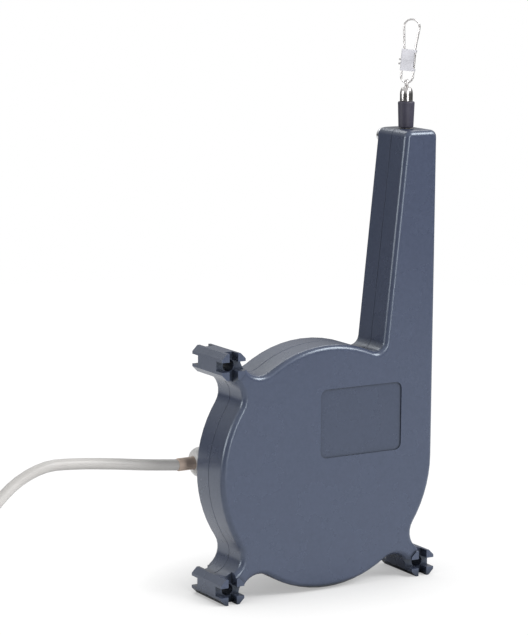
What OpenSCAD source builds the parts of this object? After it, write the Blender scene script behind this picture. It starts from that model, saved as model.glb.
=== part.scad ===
// Draw-wire encoder. A spring-loaded drum in a flat round case pays out a
// measuring wire through a tall neck, and a rotary sensor behind the case
// counts the drum's turns.
// Millimetres. X points right, Y to the rear and Z up. The origin is on the
// floor below the drum axis, midway between the feet's front and the rear cover.

/* [Case] */
// Diameter of the round part of the case
case_d = 88; // [84:0.5:100]
// Depth of the two case halves together
case_depth = 19.6; // [18.8:0.2:24]
// Wall of the case
wall = 2; // [1.6:0.1:2.4]
// Rounding of the front and rear edges
edge_r = 2; // [1:0.1:2.4]
// Height of the neck's top above the drum axis
neck_h = 118.2; // [100:0.5:150]
// Distance from the wire to the neck's slanted side, at the top
neck_side = 5.9; // [5.6:0.1:8]
// Slant of the neck's side, in degrees
neck_slant = 5.9; // [3:0.1:8]
// Rounding of the neck's two top corners
neck_corner_r = 2.6; // [2.5:0.1:2.8]
// Rounding where the neck leaves the round case
neck_root_r = 3.5; // [2:0.5:8]
// Depth of the bare name-plate recess
plate_depth = 0.4; // [0.2:0.1:0.8]

/* [Mounting feet] */
// Distance of each foot's centre inside the case's tangent lines
foot_inset = 4; // [3:0.5:5]
// Side of the square foot
foot_size = 9.4; // [9:0.1:10.4]
// Height of a foot's ends above the case faces
foot_proud = 0.7; // [0.3:0.1:1.5]
// Chamfer on a foot's four corners
foot_chamfer = 2; // [1.5:0.1:2.8]
// Width of the cross slots in a foot's ends
slot_w = 3.4; // [2.6:0.1:3.6]
// Depth of the cross slots
slot_depth = 4; // [3:0.1:6]
// Diameter of the hole through a foot
foot_bore_d = 4.4; // [3:0.1:4.6]
// Radius of the hollow fillets between a foot and the case
ear_r = 7.2; // [6.6:0.1:8]

/* [Drum and wire] */
// Distance from the wire to the case's side; the drum's radius is what is left
wire_side = 7.4; // [7.2:0.1:9]
// Diameter of the measuring wire
wire_d = 0.8; // [0.5:0.1:1]
// Turns of wire that the drum holds
wire_turns = 10; // [6:1:12]
// Thickness of the drum's two flanges
flange_t = 1.4; // [1:0.1:1.8]
// Height of the flanges above the wire's centre line
flange_rise = 3.4; // [2:0.1:4]
// Thickness of the drum's rim under the wire
rim_t = 2; // [1.5:0.1:3]
// Thickness of the drum's web
web_t = 1.6; // [1.2:0.1:2]
// Thickness of the power spring's band
spring_t = 0.5; // [0.3:0.1:0.8]
// Turns of the power spring
spring_turns = 7; // [4:1:9]

/* [Shaft and bearings] */
// Diameter of the drum shaft
shaft_d = 5; // [4:0.1:5.4]
// Outer diameter of the ball bearings
bearing_d = 11; // [10.5:0.1:12]
// Width of the ball bearings
bearing_w = 4; // [3:0.1:4.4]

/* [Sensor housing] */
// Diameter of the sensor housing
sensor_d = 58; // [54:0.5:64]
// Depth of the sensor housing without its cover
sensor_depth = 20; // [19:0.5:26]
// Wall of the sensor housing
sensor_wall = 2; // [1.6:0.1:2.6]
// Thickness of the rear cover
cover_t = 2; // [1.8:0.1:3]
// Distance of the gland's axis behind the case
gland_back = 10.4; // [9.5:0.1:11]

/* [Cable gland] */
// Diameter of the gland's nut
gland_d = 11; // [10:0.1:13]
// Length of the gland's nut with its dome
gland_nut_len = 7; // [6:0.1:9]
// Diameter of the signal cable
cable_d = 4; // [3.8:0.1:4.2]
// Diameter of the sleeve on the cable in the gland
sleeve_d = 4.6; // [4.4:0.1:5]

/* [Wire end] */
// Diameter of the rubber bumper at its top
bumper_d = 6; // [5:0.1:7]
// Length of the bumper
bumper_len = 9.4; // [8:0.1:14]
// Diameter of the swivel barrel
barrel_d = 4.6; // [4.2:0.1:5]
// Length of the swivel barrel
barrel_len = 5; // [4.4:0.1:8]
// Diameter of the swivel eye's wire
eye_wire_d = 0.9; // [0.7:0.05:1]
// Width of the eye's ring, along its own axis
eye_wire_w = 1.2; // [0.9:0.05:1.3]
// Diameter of the snap hook's wire
snap_wire_d = 0.7; // [0.6:0.05:0.75]
// Length of the snap hook above the swivel eye
snap_len = 22; // [20:0.5:30]
// Turn of the snap hook about the wire, in degrees
snap_turn = -31; // [-90:1:90]
// Lean of the snap hook on the eye, in degrees
snap_lean = 4.7; // [-10:0.1:10]

/* [Fits] */
// Radial clearance of the shaft and the wire end's swivel
running_fit = 0.05; // [0.02:0.01:0.09]
// Clearance between still parts that slip together
slip_fit = 0.1; // [0.05:0.01:0.15]
// Gap between parts that move past each other
move_gap = 0.4; // [0.3:0.05:0.6]

/* [Hidden] */

$fn = 64;
overcut = 1;

// Case
case_r = case_d / 2;
inner_r = case_r - wall;
foot_pos = case_r - foot_inset;
foot_half = foot_size / 2;
z_axis = foot_pos + foot_half;
seal_t = 0.5;
y_front = foot_proud - (foot_proud + case_depth + sensor_depth + seal_t + cover_t) / 2;
y_split = y_front + case_depth / 2;
y_back = y_front + case_depth;
half_depth = case_depth / 2;
split_bevel = 0.2;
rim_lap = 1.4;
plate_at = [-4, 3.5];
plate_w = 34;
plate_h = 24.8;
plate_r = 2.5;
rim_step = wall / 2;
foot_angles = [135, 225, 315];

// Wire line and neck
wire_x = case_r - wire_side;
neck_x = wire_x - neck_side;
guide_solid = 9;
guide_d = 3.4;
guide_flange_d = 5;
guide_flange_t = 1;
guide_len = 6.4;
wiper_d = 3.8;
wiper_len = 1.8;
wire_play = 0.2;
neck_pocket_top = neck_h - guide_solid;
neck_skin = 0.5;

// Ears that carry the feet
ear_sink = 0.15;
slot_reach = foot_half + ear_r / 3;
ear_stop = 6;
ear_z = foot_pos - foot_half + ear_sink - ear_r;
ear_x = sqrt(pow(case_r + ear_r, 2) - pow(ear_z, 2));
ear_angle = atan2(ear_z, ear_x);
ear_half_angle = 45 - ear_angle;
ear_sweep = ear_angle + 90 - ear_stop;

// Case screws
screw_d = 2.5;
screw_head_d = 5;
screw_head_h = 1.9;
screw_sunk = 0.8;
screw_bite = 6;
screw_hole_d = screw_d + 0.3;
post_d = 6.4;
post_z = 56;
post_x = neck_line_x(post_z) + wall + screw_d / 2 + 0.6;
neck_screw_drop = 3;
neck_screw_side = 3.5;
ear_screw_r = case_r + 1.5;
screw_places = concat(
    [for (a = foot_angles) [ear_screw_r * cos(a), ear_screw_r * sin(a)]],
    [[wire_x - neck_screw_side, neck_h - neck_screw_drop], [post_x, post_z]]);

// Drum
wire_pitch = wire_d + 0.04;
wind_w = wire_turns * wire_pitch + 0.4;
drum_w = wind_w + 2 * flange_t;
y_drum = y_split - drum_w / 2;
flange_r = wire_x + flange_rise;
rim_r = wire_x - wire_d / 2;
rim_in_r = rim_r - rim_t;
hub_r = 6;
hub_len = web_t + 1;
y_web = y_front + wall + bearing_w + move_gap;
boss_rise = 2;
y_spring = y_web + web_t + 2 * move_gap;
y_spring_end = y_back - wall - boss_rise - move_gap;
arbor_r = 8;
shaft_r = shaft_d / 2;
bearing_recess = 0.6;
y_rear_bearing = y_back - bearing_recess - bearing_w;
boss_d = bearing_d + 5;

// Sensor
sensor_r = sensor_d / 2;
sensor_screw_r = sensor_r - 8;
y_floor = y_back + sensor_wall;
y_post = y_floor - sensor_wall / 2;
holder_d = 9;
holder_len = 5;
y_holder = y_back + 1.5;
magnet_d = 6;
magnet_t = 2.5;
y_shaft_end = y_holder + holder_len - magnet_t;
board_t = 1.6;
y_board = y_holder + holder_len + 2.6;
board_r = sensor_r - 7.5;
board_post_r = board_r - 3.5;
cover_post_r = sensor_r - sensor_wall - 2.4;
y_cover = y_back + sensor_depth;

sensor_tint = [0.3, 0.32, 0.38];
sensor_screw_bite = wall + boss_rise - 0.8;
sensor_boss_d = 6;
sensor_screw_places = [for (a = [90, 210, 330]) sensor_screw_r * [cos(a), sin(a)]];
cover_screw_places = [for (a = [45:90:315]) cover_post_r * [cos(a), sin(a)]];
cover_post_d = 5.6;
cover_screw_bite = 8;
board_screw_places = [for (a = [30, 150, 270]) board_post_r * [cos(a), sin(a)]];
board_post_d = 4.6;
board_screw_d = 2;
board_screw_bite = 5;
sunk_d = 4.6;
sunk_h = 1.2;
spigot_len = 0.5;
circlip_d = 7.4;
circlip_t = 0.6;
circlip_bite = 0.3;
y_circlip = y_back - bearing_recess + 0.15;
y_arbor = y_web + hub_len + move_gap;
pad_d = 13;
dome_t = 1;

// Gland, all along -X from the housing's side pad
y_gland = y_back + gland_back;
pad_x = -sensor_r - 0.5;
gland_collar_t = 2.4;
nut_x = pad_x - gland_collar_t;
gland_end_x = nut_x - gland_nut_len;
gland_thread_d = 8;
gland_thread_len = 5;
gland_socket = 2.5;
dome_d = 8;
sleeve_out = 6.5;
cable_x = gland_end_x - sleeve_out;

// Wire end
z_neck_top = z_axis + neck_h;
stop_gap = 0.2;
z_bumper = z_neck_top + stop_gap;
z_barrel = z_bumper + bumper_len;
eye_gap = 0.1;
eye_r = snap_wire_d / 2 + eye_wire_d / 2 + 2 * eye_gap;
z_eye = z_barrel + barrel_len + eye_wire_d / 2 + eye_r + eye_gap;
z_pivot = z_eye + eye_r;
snap_bottom = -(snap_wire_d + eye_wire_d) / 2 - eye_gap;
snap_low_r = 2.1;
snap_top_r = 2.75;
clip_low = 3.3;
clip_h = 7.6;
clip_top = clip_low + clip_h;
clip_t = 0.25;

eye_stem_d = eye_wire_w + 0.1;
eye_head_d = 2.2;
eye_head_t = 0.9;
eye_roof = 0.9;
latch_low = 5.2;
latch_high = 7.3;
curl_h = 0.9;
curl_t = 0.2;
z_wire_start = z_axis + sqrt(pow(wire_x + wire_d + 0.2, 2) - wire_x * wire_x);
ferrule_d = 2.4;
ferrule_up = 1.5;
bumper_low_d = bumper_d - 0.6;

// Signal cable on the floor
sleeve_x = -24;
tie_t = 0.5;
tie_w = 4;
conductor_d = 1;
ferrule_len = 6;
cable_r = cable_d / 2;
coil_r = 21;
coil_w = 12;
coil_h = 8.2;
coil_x = -149;
coil_y = 16;
top_turn_r = 25;
top_turn_z = tie_t + coil_h + cable_r;
// Route of the cable from its sleeve down to the coil
cable_route = [[cable_x, y_gland, z_axis], [-58, 9.3, 44.7], [-72, 9.3, 45], [-86, 9.3, 45.2],
    [-98, 9.3, 44.6], [-108, 8.6, 42.2], [-117.5, 6.3, 37.4], [-126, 2.6, 30.6], [-134.5, -2.2, 23.4],
    [-143, -6.6, 16.8], [-151, -8.6, 12.8]];
// Angles of the single turn that lies on top of the coil, and its way down into the coil
top_turn = [for (a = [250:-18:16]) [coil_x + top_turn_r * cos(a), coil_y + top_turn_r * sin(a), top_turn_z]];
top_turn_end = [coil_x + top_turn_r * cos(-6), coil_y + top_turn_r * sin(-6), top_turn_z - 1.8];
// Route of the cable from the coil to its stripped end
tail_route = [[-168, -0.2, 2.6], [-172.9, 4, 2.4], [-177.2, 10.6, 2.1], [-178.3, 18, 2.1]];

case_tint = [0.33, 0.36, 0.43];

// ---- Plain helpers ----

// Local +Z runs to the rear along a line parallel to the drum axis
module to_rear(y, x = 0, z = 0) {
    translate([x, y, z_axis + z]) rotate([-90, 0, 0]) children();
}

// Slab of a flat shape drawn as seen from the front, from y to the rear
module slab(y, depth) {
    translate([0, y + depth, z_axis]) rotate([90, 0, 0]) linear_extrude(depth) children();
}

// Local +Z runs to the front
module to_front(y, x = 0, z = 0) {
    translate([x, y, z_axis + z]) rotate([90, 0, 0]) children();
}

// Local +Z runs to the left out of the gland
module to_left(x) {
    translate([x, y_gland, z_axis]) rotate([0, -90, 0]) children();
}

module ring(od, id, h) {
    rotate_extrude() translate([id / 2, 0]) square([(od - id) / 2, h]);
}

// Pan-head screw with its shank down local +Z and its seat at z = 0
module pan_screw(d, len, head_d, head_h) {
    union() {
        rotate_extrude() polygon([[0, 0], [d / 2, 0], [d / 2, len - 0.4], [d / 2 - 0.4, len], [0, len]]);
        difference() {
            rotate_extrude() polygon([[0, 0], [head_d / 2, 0], [head_d / 2, -head_h * 0.5],
                [head_d / 2 - head_h * 0.25, -head_h * 0.85], [head_d / 2 - head_h * 0.5, -head_h],
                [0, -head_h]]);
            translate([0, 0, -head_h - overcut]) for (a = [0, 90]) rotate([0, 0, a])
                translate([-head_d * 0.28, -head_d * 0.06, 0])
                    cube([head_d * 0.56, head_d * 0.12, overcut + head_h * 0.5]);
        }
    }
}

// ---- Sweeping a round section along a path ----

function unit(v) = v / norm(v);
function square_to(v, t) = unit(v - t * (v * t));
function heading(path, i) = unit(path[min(i + 1, len(path) - 1)] - path[max(i - 1, 0)]);
// A side direction at each point, carried along the path with no twist
function sides_of(path, first) = [for (i = 0, s = square_to(first, heading(path, 0)); i < len(path);
    i = i + 1, s = square_to(s, heading(path, min(i, len(path) - 1)))) s];
// Smooth curve through the points of a route
function between(a, b, c, d, t) = 0.5 * (2 * b + (c - a) * t + (2 * a - 5 * b + 4 * c - d) * t * t
    + (3 * b - a - 3 * c + d) * t * t * t);
function smooth(route, steps) = let (n = len(route) - 1) concat(
    [for (i = [0:n - 1], k = [0:steps - 1]) between(route[max(i - 1, 0)], route[i], route[i + 1],
        route[min(i + 2, n)], k / steps)], [route[n]]);

module sweep(path, d, sides = 8, first = [0, 0, 1]) {
    s = sides_of(path, first);
    rings = len(path);
    points = [for (i = [0:rings - 1], k = [0:sides - 1]) let (t = heading(path, i), a = 360 * k / sides)
        path[i] + d / 2 * (cos(a) * s[i] + sin(a) * cross(t, s[i]))];
    walls = [for (i = [0:rings - 2], k = [0:sides - 1]) let (j = (k + 1) % sides)
        [i * sides + k, (i + 1) * sides + k, (i + 1) * sides + j, i * sides + j]];
    start_cap = [for (k = [0:sides - 1]) k];
    end_cap = [for (k = [sides - 1:-1:0]) (rings - 1) * sides + k];
    polyhedron(points, concat(walls, [start_cap, end_cap]));
}

// ---- Outline of the case ----

// Points of an arc about c, at radius r, from angle a to angle b
function arc(c, r, a, b, n) = [for (k = [0:n]) let (t = a + (b - a) * k / n) c + r * [cos(t), sin(t)]];

// The neck's slanted side: its direction, its outward normal and its place at a height
side_dir = [sin(neck_slant), cos(neck_slant)];
side_out = [-cos(neck_slant), sin(neck_slant)];
function neck_line_x(z) = neck_x - (neck_h - z) * tan(neck_slant);
// Centre of the fillet that touches both the slanted side and the round case
root_from = [neck_x, neck_h] + neck_root_r * side_out;
root_along = root_from * side_dir;
root_centre = root_from + side_dir * (-root_along
    + sqrt(root_along * root_along - root_from * root_from + pow(case_r + neck_root_r, 2)));
root_angle = atan2(root_centre[1], root_centre[0]);
left_corner = [neck_x + neck_corner_r * (1 / cos(neck_slant) - tan(neck_slant)), neck_h - neck_corner_r];
right_corner = [case_r - neck_corner_r, neck_h - neck_corner_r];

// Fillets of one ear, with the corner between them buried in the foot
function ear(a, inset) = let (
    c1 = (case_r + ear_r) * [cos(a - ear_half_angle), sin(a - ear_half_angle)],
    c2 = (case_r + ear_r) * [cos(a + ear_half_angle), sin(a + ear_half_angle)],
    from1 = a - ear_half_angle + 180, from2 = a + ear_half_angle + 180) concat(
    arc(c1, ear_r + inset, from1, from1 - ear_sweep, 9),
    arc(c2, ear_r + inset, from2 + ear_sweep, from2, 9));

// Whole outline, moved inwards by inset
function outline(inset) = let (r = case_r - inset, f = foot_angles, h = ear_half_angle + 4, o = case_hub) concat(
    arc(right_corner, neck_corner_r - inset, 0, 90, 5),
    arc(left_corner, neck_corner_r - inset, 90, 180 - neck_slant, 5),
    arc(root_centre, neck_root_r + inset, -neck_slant, root_angle - 180, 6),
    arc(o, r, root_angle + 4, f[0] - h, 9), ear(f[0], inset),
    arc(o, r, f[0] + h, f[1] - h, 12), ear(f[1], inset),
    arc(o, r, f[1] + h, f[2] - h, 12), ear(f[2], inset),
    arc(o, r, f[2] + h, 360, 6));

// Points on the neck, on the disc before the first ear, on one ear, and on the disc between two ears
neck_points = 19;
lead_points = 10;
ear_points = 20;
disc_points = 13;
ear_starts = [for (i = [0:2]) neck_points + lead_points + i * (ear_points + disc_points)];
// Places in the round case and the neck's root from which the rest of the outline is in sight
case_hub = [0, 0];
neck_hub = [wire_x - 3, case_r / 2];

// Whether point k of the outline is the start of a side that lies on an ear
function on_ear(k) = max([for (e = ear_starts) k >= e && k < e + ear_points - 1 ? 1 : 0]) == 1;

// Flat face over a ring of n points from index first: two fans, and one ladder up each ear
function face_fans(first, n, hub) = concat(
    [for (k = [-1:neck_points - 2]) [first + (k + n) % n, first + k + 1, hub + 1]],
    [for (k = [neck_points - 1:n - 2]) if (!on_ear(k)) [first + k, first + k + 1, hub]],
    [for (e = ear_starts) [first + e, first + e + ear_points - 1, hub]],
    [for (e = ear_starts, i = [0:ear_points / 2 - 2])
        let (a = first + e + i, b = first + e + ear_points - 1 - i) each [[a, a + 1, b], [a + 1, b - 1, b]]],
    [[hub, first + n - 1, hub + 1], [hub, hub + 1, first + neck_points - 1]]);

// Rounded half of the case, from its outer face at local z = 0 to the split
module half_body() {
    steps = 4;
    rounding = [for (k = [0:steps]) edge_r * [1 - cos(90 * k / steps), 1 - sin(90 * k / steps)]];
    levels = concat(rounding, [[half_depth - split_bevel, 0], [half_depth, split_bevel]]);
    n = len(outline(0));
    last = len(levels) - 1;
    hubs = [for (i = [0, last]) for (p = [case_hub, neck_hub]) [p[0], p[1], levels[i][0]]];
    points = concat([for (level = levels) for (p = outline(level[1])) [p[0], p[1], level[0]]], hubs);
    walls = [for (i = [0:last - 1], k = [0:n - 1]) let (j = (k + 1) % n)
        [i * n + k, (i + 1) * n + k, (i + 1) * n + j, i * n + j]];
    face = face_fans(0, n, (last + 1) * n);
    split_face = [for (f = face_fans(last * n, n, (last + 1) * n + 2)) [f[2], f[1], f[0]]];
    polyhedron(points, concat(walls, face, split_face));
}

// ---- Cuts and blocks that both case halves share ----

// Space for the drum, with the channel up the neck, from y to the rear
module case_hollow(y, depth) {
    to_rear(y) cylinder(r = inner_r, h = depth);
    neck_channel(y, depth);
}

module neck_channel(y, depth) {
    skin = wall / cos(neck_slant);
    slab(y, depth) polygon([[neck_line_x(0) + skin, 0], [inner_r - neck_skin, 0],
        [inner_r - neck_skin, neck_pocket_top], [neck_line_x(neck_pocket_top) + skin, neck_pocket_top]]);
}

// The three square feet, from y to the rear
module feet(y, depth) {
    h = foot_half;
    k = foot_half - foot_chamfer;
    for (a = foot_angles)
        slab(y, depth) translate(foot_pos * sqrt(2) * [cos(a), sin(a)])
            polygon([[h, -k], [h, k], [k, h], [-k, h], [-h, k], [-h, -k], [-k, -h], [k, -h]]);
}

// Cross slots in the feet's ends, from y to the rear, and the holes through the feet
module foot_cuts(y) {
    for (a = foot_angles) {
        x = foot_pos * sqrt(2) * cos(a);
        z = foot_pos * sqrt(2) * sin(a);
        for (size = [[slot_w, 2 * slot_reach], [2 * slot_reach, slot_w]])
            translate([x - size[0] / 2, y, z_axis + z - size[1] / 2])
                cube([size[0], slot_depth + overcut, size[1]]);
        to_rear(y_front - foot_proud - overcut, x, z)
            cylinder(d = foot_bore_d, h = case_depth + 2 * (foot_proud + overcut));
    }
}

// Seat of the wire guide and the wiper down through the top of the neck
module guide_seat() {
    translate([wire_x, y_split, z_neck_top]) {
        translate([0, 0, -guide_len]) cylinder(d = guide_d, h = guide_len + overcut);
        translate([0, 0, -guide_flange_t]) cylinder(d = guide_flange_d, h = guide_flange_t + overcut);
        translate([0, 0, -guide_len - wiper_len]) cylinder(d = wiper_d, h = wiper_len + overcut / 2);
        translate([0, 0, -guide_solid - overcut]) cylinder(d = wire_d + 1.2, h = guide_solid);
    }
}

// Post round the screw beside the neck's root
module neck_post(y, depth) {
    to_rear(y, post_x, post_z) cylinder(d = post_d, h = depth);
}

// ---- Case ----

module front_shell() color(case_tint) difference() {
    union() {
        difference() {
            translate([0, y_front, z_axis]) mirror([0, 1, 0]) rotate([90, 0, 0]) half_body();
            case_hollow(y_front + wall, half_depth);
        }
        feet(y_front - foot_proud, foot_proud + half_depth);
        to_rear(y_front + wall / 2) cylinder(d = boss_d, h = wall / 2 + bearing_w);
        neck_post(y_front + wall / 2, half_depth - wall / 2);
    }
    foot_cuts(y_front - foot_proud - overcut);
    to_rear(y_front + wall) cylinder(d = bearing_d, h = bearing_w + overcut);
    to_rear(y_split - rim_lap - slip_fit)
        cylinder(r = inner_r + rim_step + slip_fit, h = rim_lap + slip_fit + overcut);
    for (p = screw_places)
        to_rear(y_split - screw_bite, p[0], p[1]) cylinder(d = screw_d, h = screw_bite + overcut);
    name_plate_recess();
    guide_seat();
}

// Shallow place for a name plate, left bare
module name_plate_recess() {
    slab(y_front - overcut, overcut + plate_depth) translate(plate_at) hull()
        for (x = [plate_r, plate_w - plate_r], z = [plate_r, plate_h - plate_r])
            translate([x, z]) circle(plate_r, $fn = 32);
}

module rear_shell() color(case_tint) difference() {
    union() {
        difference() {
            translate([0, y_back, z_axis]) rotate([90, 0, 0]) half_body();
            case_hollow(y_split - overcut, half_depth - wall + overcut);
        }
        feet(y_split, half_depth + foot_proud);
        difference() {
            to_rear(y_split - rim_lap) ring(2 * (inner_r + rim_step), 2 * inner_r, rim_lap + overcut);
            neck_channel(y_split - rim_lap - overcut, rim_lap + 3 * overcut);
        }
        to_rear(y_arbor) cylinder(r = arbor_r, h = y_back - y_arbor - wall / 2);
        neck_post(y_split, half_depth - wall / 2);
        for (p = sensor_screw_places)
            to_rear(y_back - wall - boss_rise, p[0], p[1])
                cylinder(d = sensor_boss_d, h = wall / 2 + boss_rise);
    }
    foot_cuts(y_back + foot_proud - slot_depth);
    to_rear(y_rear_bearing) cylinder(d = bearing_d, h = bearing_w + bearing_recess + overcut);
    to_rear(y_arbor - overcut) cylinder(d = shaft_d + 2 * move_gap, h = y_back - y_arbor);
    for (p = screw_places) {
        to_rear(y_split - overcut, p[0], p[1]) cylinder(d = screw_hole_d, h = half_depth + 2 * overcut);
        to_rear(y_back - screw_sunk, p[0], p[1]) cylinder(d = screw_head_d + 0.4, h = screw_sunk + overcut);
    }
    for (p = sensor_screw_places)
        to_rear(y_back - sensor_screw_bite, p[0], p[1])
            cylinder(d = screw_d, h = sensor_screw_bite + overcut);
    guide_seat();
}

module case_screws() color([0.8, 0.8, 0.82]) {
    for (p = screw_places) to_front(y_back - screw_sunk, p[0], p[1])
        pan_screw(screw_d, half_depth - screw_sunk + screw_bite - 0.5, screw_head_d, screw_head_h);
}

// ---- Drum, spring and shaft ----

// Shielded ball bearing as one ring, its shields set back between the races
module ball_bearing() {
    bore_r = shaft_r + running_fit;
    race = 1;
    dish = 0.25;
    out_r = bearing_d / 2;
    rotate_extrude() polygon([[bore_r, 0], [bore_r + race, 0], [bore_r + race, dish], [out_r - race, dish],
        [out_r - race, 0], [out_r, 0], [out_r, bearing_w], [out_r - race, bearing_w],
        [out_r - race, bearing_w - dish], [bore_r + race, bearing_w - dish], [bore_r + race, bearing_w],
        [bore_r, bearing_w]]);
}

module front_bearing() color([0.75, 0.76, 0.78]) to_rear(y_front + wall) ball_bearing();

module rear_bearing() color([0.75, 0.76, 0.78]) to_rear(y_rear_bearing) ball_bearing();

module drum_shaft() color([0.72, 0.73, 0.75]) difference() {
    to_rear(y_front + wall + move_gap) cylinder(d = shaft_d, h = y_shaft_end - y_front - wall - move_gap);
    to_rear(y_circlip) ring(shaft_d + overcut, shaft_d - 2 * circlip_bite, circlip_t);
}

module shaft_circlip() color([0.3, 0.3, 0.32]) difference() {
    to_rear(y_circlip) ring(circlip_d, shaft_d - 2 * circlip_bite, circlip_t);
    to_rear(y_circlip - overcut) translate([0, -shaft_d * 0.3, 0])
        cube([circlip_d, shaft_d * 0.6, circlip_t + 2 * overcut]);
}

// Drum with two flanges, a web near the front bearing and a hub on the shaft
module cable_drum() color([0.85, 0.84, 0.8]) {
    web = y_web - y_drum;
    to_rear(y_drum) rotate_extrude($fn = 128) polygon([[shaft_r, web], [rim_in_r, web], [rim_in_r, 0],
        [flange_r, 0], [flange_r, flange_t], [rim_r, flange_t], [rim_r, drum_w - flange_t],
        [flange_r, drum_w - flange_t], [flange_r, drum_w], [rim_in_r, drum_w], [rim_in_r, web + web_t],
        [hub_r, web + web_t], [hub_r, web + hub_len], [shaft_r, web + hub_len]]);
}

// Flat spiral band whose outer turn lies against the drum's rim
module power_spring() color([0.4, 0.42, 0.45]) to_rear(y_spring) {
    width = y_spring_end - y_spring;
    from_r = arbor_r + move_gap + spring_t;
    to_r = rim_in_r - spring_t / 2;
    turn_steps = 20;
    steps = turn_steps * spring_turns;
    spiral = [for (k = [0:steps]) [from_r + (to_r - from_r) * k / steps, 360 * k / turn_steps]];
    union() {
        ring(2 * rim_in_r, 2 * (rim_in_r - spring_t), width);
        linear_extrude(width) polygon(concat(
            [for (p = spiral) (p[0] + spring_t / 2 - 0.02) * [cos(p[1]), sin(p[1])]],
            [for (k = [steps:-1:0]) let (p = spiral[k]) (p[0] - spring_t / 2) * [cos(p[1]), sin(p[1])]]));
    }
}

// Turns of wire side by side on the drum
module wire_winding() color([0.5, 0.52, 0.54]) {
    for (i = [0:wire_turns - 1])
        to_rear(y_split + (i + 0.5 - wire_turns / 2) * wire_pitch)
            rotate_extrude() translate([wire_x, 0]) circle(d = wire_d - 0.02, $fn = 24);
}

// ---- Wire exit and wire end ----

module wire_guide() color([0.9, 0.88, 0.82]) translate([wire_x, y_split, z_neck_top - guide_len]) {
    bore_r = (wire_d + wire_play) / 2;
    rotate_extrude() polygon([[bore_r, 0], [guide_d / 2, 0], [guide_d / 2, guide_len - guide_flange_t],
        [guide_flange_d / 2, guide_len - guide_flange_t], [guide_flange_d / 2, guide_len],
        [bore_r + 0.6, guide_len], [bore_r, guide_len - 0.8]]);
}

module wire_wiper() color([0.75, 0.72, 0.65])
    translate([wire_x, y_split, z_neck_top - guide_len - wiper_len])
        ring(wiper_d, wire_d + wire_play, wiper_len);

module measuring_wire() color([0.5, 0.52, 0.54])
    translate([wire_x, y_split, z_wire_start]) cylinder(d = wire_d, h = z_barrel - z_wire_start);

module wire_ferrule() color([0.7, 0.6, 0.4])
    translate([wire_x, y_split, z_bumper + ferrule_up]) ring(ferrule_d, wire_d, bumper_len - ferrule_up);

module bumper() color([0.13, 0.13, 0.16]) translate([wire_x, y_split, z_bumper])
    rotate_extrude() polygon([[wire_d / 2 + wire_play, 0], [bumper_low_d / 2 - 0.3, 0],
        [bumper_low_d / 2, 0.3], [bumper_d / 2, bumper_len - 0.3], [bumper_d / 2 - 0.3, bumper_len],
        [ferrule_d / 2, bumper_len], [ferrule_d / 2, ferrule_up], [wire_d / 2 + wire_play, ferrule_up]]);

// Bullet-shaped barrel with a pocket that holds the eye's button head
module swivel_barrel() color([0.8, 0.8, 0.82]) translate([wire_x, y_split, z_barrel]) {
    r = barrel_d / 2;
    nose_r = r * 0.58;
    straight = barrel_len * 0.5;
    bore_r = eye_stem_d / 2 + running_fit;
    pocket_r = eye_head_d / 2 + eye_gap;
    pocket_top = barrel_len - eye_roof;
    nose = [for (k = [0:5]) let (a = 90 * k / 5)
        [nose_r + (r - nose_r) * cos(a), straight + (barrel_len - straight) * sin(a)]];
    rotate_extrude() polygon(concat([[0, 0], [r - 0.2, 0], [r, 0.2]], nose,
        [[bore_r, barrel_len], [bore_r, pocket_top], [pocket_r, pocket_top],
        [pocket_r, pocket_top - eye_head_t - 2 * eye_gap], [0, pocket_top - eye_head_t - 2 * eye_gap]]));
}

// Eye that turns in the barrel, its ring square to the snap hook
module swivel_eye() color([0.8, 0.8, 0.82]) translate([wire_x, y_split, z_eye]) {
    head_z = z_barrel + barrel_len - eye_roof - eye_head_t - eye_gap - z_eye;
    union() {
        rotate([0, 0, snap_turn]) rotate([0, 90, 0])
            rotate_extrude() translate([eye_r, 0]) scale([1, eye_wire_w / eye_wire_d])
                circle(d = eye_wire_d, $fn = 24);
        translate([0, 0, head_z]) cylinder(d = eye_stem_d, h = -eye_r - head_z);
        translate([0, 0, head_z]) cylinder(d = eye_head_d, h = eye_head_t);
    }
}

// Frame of the snap hook: X across it, Z along it, origin in the eye's upper wire
module snap_frame() {
    translate([wire_x, y_split, z_pivot]) rotate([0, 0, snap_turn]) rotate([0, snap_lean, 0]) children();
}

// One wire bent into the lower loop, the long back, the hook's bow and the latch end
module snap_wire() color([0.8, 0.8, 0.82]) snap_frame() {
    low = [0, snap_bottom + snap_low_r];
    top = [0, snap_len - snap_wire_d / 2 - snap_top_r];
    side = snap_low_r;
    spread = atan2(snap_top_r - side + 0.2, top[1] - clip_top);
    path = concat(
        [[-side - 1.4, latch_low + 0.5], [-side - 0.8, latch_low + 0.45], [-side - 0.25, latch_low + 0.15],
        [-side, latch_low - 0.5]],
        arc(low, snap_low_r, 180, 360, 12),
        [[side, clip_low + 0.5], [side, clip_top - 0.8], [side - 0.15, clip_top + 0.3]],
        arc(top, snap_top_r, -spread, 180 + spread, 14),
        [[-side + 0.2, clip_top], [-side + 0.2, latch_high + 0.7], [-side, latch_high + 0.15],
        [-side - 0.6, latch_high], [-side - 1.3, latch_high - 0.1]]);
    sweep([for (p = path) [p[0], 0, p[1]]], snap_wire_d, 8, [0, 1, 0]);
}

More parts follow.
